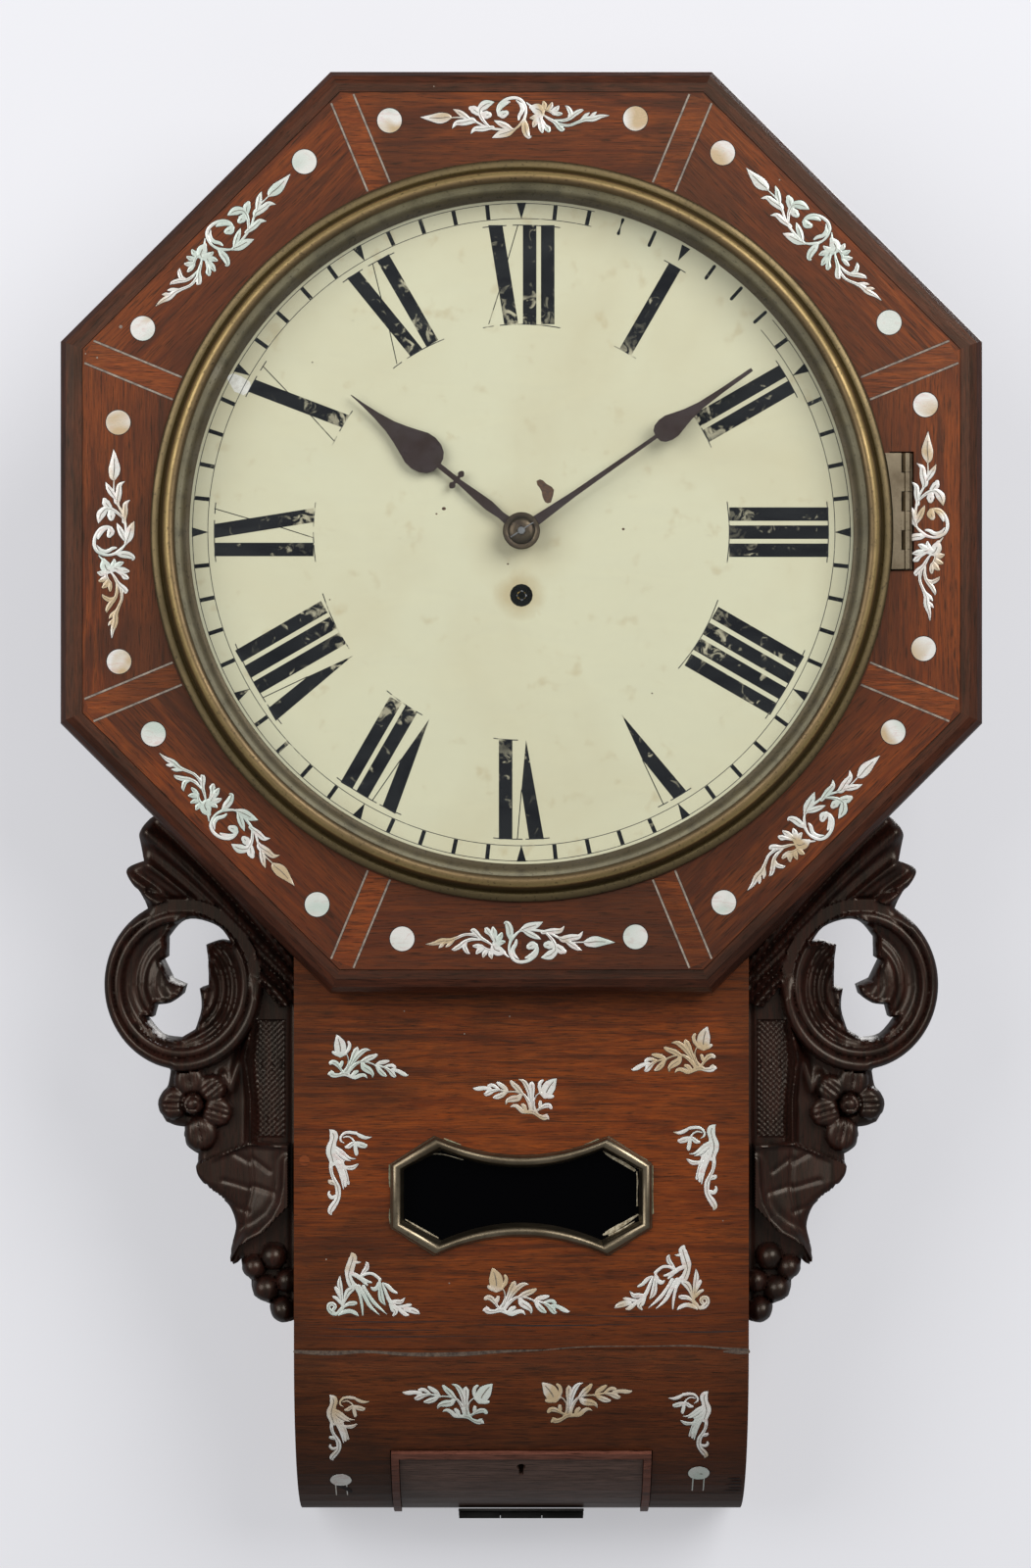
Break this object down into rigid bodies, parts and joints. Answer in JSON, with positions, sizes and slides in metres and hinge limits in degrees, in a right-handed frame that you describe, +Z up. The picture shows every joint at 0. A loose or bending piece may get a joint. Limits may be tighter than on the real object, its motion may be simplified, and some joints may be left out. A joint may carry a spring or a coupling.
{
  "type": "drop dial wall clock",
  "caption": "Octagonal wall clock with a hinged glazed bezel, round numeral dial, fusee movement and pendulum in a drop case with carved side brackets.",
  "frame": {"origin": "on the wall plane at the back of the case, on the axis of the hands", "axes": "+Z up, +Y into the wall, the dial faces -Y, +X is the right-hand side seen from the front"},
  "size_m": [0.424, 0.1521, 0.6813],
  "materials": {
    "rosewood": "french polished",
    "dark_wood": "dark stained, polished",
    "pine": "plain planed",
    "aged_brass": "aged, dull",
    "plate_brass": "polished",
    "polished_steel": "polished",
    "blued_steel": "blued",
    "dial_paint": "aged matt paint",
    "glass": "clear",
    "gut": "waxed",
    "oxidised_metal": "dark, dull"
  },
  "bodies": {
    "case": {"back_board": "pine", "case_side_left": "rosewood", "case_side_right": "rosewood", "case_top": "pine", "trunk_front": "rosewood", "foot_panel": "rosewood", "window_bezel": "aged_brass", "window_glass": "glass", "dial_surround": "rosewood", "surround_moulding": "dark_wood", "surround_batten_left": "pine", "surround_batten_right": "pine", "hanging_plate": "aged_brass", "bracket_left": "dark_wood", "bracket_right": "dark_wood", "bezel_hinge_case_leaf": "aged_brass", "dial": "dial_paint", "front_plate": "plate_brass", "back_plate": "plate_brass", "back_cock": "plate_brass", "barrel_arbor": "polished_steel", "setup_ratchet": "polished_steel", "setup_click": "polished_steel", "fusee_line": "gut", "foot_hinge_case_leaf": "aged_brass", "side_hinge_case_leaf": "aged_brass"},
    "bezel": {"bezel_ring": "aged_brass", "dial_glass": "glass", "sight_ring": "aged_brass", "bezel_hinge_leaf": "aged_brass"},
    "centre": {"centre_arbor": "polished_steel", "centre_wheel": "plate_brass", "cannon_wheel": "plate_brass", "minute_hand": "blued_steel", "hand_collet": "blued_steel"},
    "hour": {"hour_wheel": "plate_brass", "hour_hand": "blued_steel"},
    "minute": {"minute_wheel": "plate_brass"},
    "third": {"third_arbor": "polished_steel", "third_wheel": "plate_brass"},
    "escape": {"escape_arbor": "polished_steel", "escape_wheel": "plate_brass"},
    "great": {"great_wheel": "plate_brass"},
    "winding_fusee": {"fusee": "plate_brass"},
    "spring_barrel": {"barrel": "plate_brass", "mainspring": "polished_steel"},
    "pendulum": {"suspension_spring": "polished_steel", "pendulum_rod": "polished_steel"},
    "anchor": {"pallets": "polished_steel", "pallet_arbor_and_crutch": "polished_steel"},
    "bob": {"pendulum_bob": "oxidised_metal"},
    "nut": {"rating_nut": "aged_brass"},
    "lower_door": {"foot_door": "rosewood", "foot_door_bead": "rosewood", "foot_door_lock": "aged_brass", "foot_hinge_door_leaf": "aged_brass"},
    "bolt": {"foot_door_bolt": "polished_steel"},
    "inspection_door": {"side_door": "rosewood", "side_hinge_door_leaf": "aged_brass"},
    "button": {"side_door_button": "aged_brass"}
  },
  "joints": [
    {"name": "bezel_hinge", "type": "hinge", "parent": "case", "child": "bezel", "pos_m": [0.1762, -0.1385, 0.009], "axis": [0, 0, 1], "range_deg": [0, 110]},
    {"name": "minute_hand_turn", "type": "hinge", "parent": "case", "child": "centre", "pos_m": [0, -0.1, 0], "axis": [0, 1, 0], "continuous": true},
    {"name": "hour_hand_turn", "type": "hinge", "parent": "case", "child": "hour", "pos_m": [0, -0.1182, 0], "axis": [0, 1, 0], "continuous": true},
    {"name": "minute_wheel_turn", "type": "hinge", "parent": "case", "child": "minute", "pos_m": [-0.018, -0.114, 0], "axis": [0, 1, 0], "continuous": true},
    {"name": "third_wheel_turn", "type": "hinge", "parent": "case", "child": "third", "pos_m": [0.01201, -0.098, 0.01843], "axis": [0, 1, 0], "continuous": true},
    {"name": "escape_wheel_turn", "type": "hinge", "parent": "case", "child": "escape", "pos_m": [0, -0.069, 0.03129], "axis": [0, 1, 0], "continuous": true},
    {"name": "great_wheel_turn", "type": "hinge", "parent": "case", "child": "great", "pos_m": [0, -0.066, -0.029], "axis": [0, 1, 0], "continuous": true},
    {"name": "fusee_winding", "type": "hinge", "parent": "great", "child": "winding_fusee", "pos_m": [0, -0.08, -0.029], "axis": [0, 1, 0], "continuous": true},
    {"name": "barrel_turn", "type": "hinge", "parent": "case", "child": "spring_barrel", "pos_m": [-0.05, -0.0775, -0.058], "axis": [0, 1, 0], "continuous": true},
    {"name": "pendulum_swing", "type": "hinge", "parent": "case", "child": "pendulum", "pos_m": [0, -0.044, 0.05321], "axis": [0, 1, 0], "range_deg": [-3, 3]},
    {"name": "anchor_rock", "type": "hinge", "parent": "case", "child": "anchor", "pos_m": [0, -0.069, 0.05321], "axis": [0, 1, 0], "range_deg": [-3, 3]},
    {"name": "bob_slide", "type": "slide", "parent": "pendulum", "child": "bob", "axis": [0, 0, 1], "range_m": [-0.0021, 0.0021]},
    {"name": "rating_nut_turn", "type": "hinge", "parent": "bob", "child": "nut", "pos_m": [0, -0.044, -0.3403], "axis": [0, 0, 1], "range_deg": [-1081, 1081]},
    {"name": "foot_door_hinge", "type": "hinge", "parent": "case", "child": "lower_door", "pos_m": [0, -0.0409, -0.46711], "axis": [1, 0, 0], "range_deg": [0, 100]},
    {"name": "foot_door_bolt_slide", "type": "slide", "parent": "lower_door", "child": "bolt", "axis": [0, -0.6947, 0.7193], "range_m": [0, 0.004]},
    {"name": "side_door_hinge", "type": "hinge", "parent": "case", "child": "inspection_door", "pos_m": [0.1082, -0.0236, -0.033], "axis": [0, 0, 1], "range_deg": [0, 95]},
    {"name": "side_door_button_turn", "type": "hinge", "parent": "case", "child": "button", "pos_m": [0.1079, -0.056, 0.0393], "axis": [1, 0, 0], "range_deg": [0, 90]}
  ],
  "couplings": [
    {"joint": "hour_hand_turn", "follows": "minute_hand_turn", "ratio": 0.083333},
    {"joint": "minute_wheel_turn", "follows": "minute_hand_turn", "ratio": -0.5},
    {"joint": "third_wheel_turn", "follows": "minute_hand_turn", "ratio": -10},
    {"joint": "escape_wheel_turn", "follows": "minute_hand_turn", "ratio": 100},
    {"joint": "great_wheel_turn", "follows": "minute_hand_turn", "ratio": -0.083333},
    {"joint": "barrel_turn", "follows": "fusee_winding", "ratio": 0.6805},
    {"joint": "anchor_rock", "follows": "pendulum_swing", "ratio": 1},
    {"joint": "rating_nut_turn", "follows": "bob_slide", "rad_per_m": 8976}
  ]
}
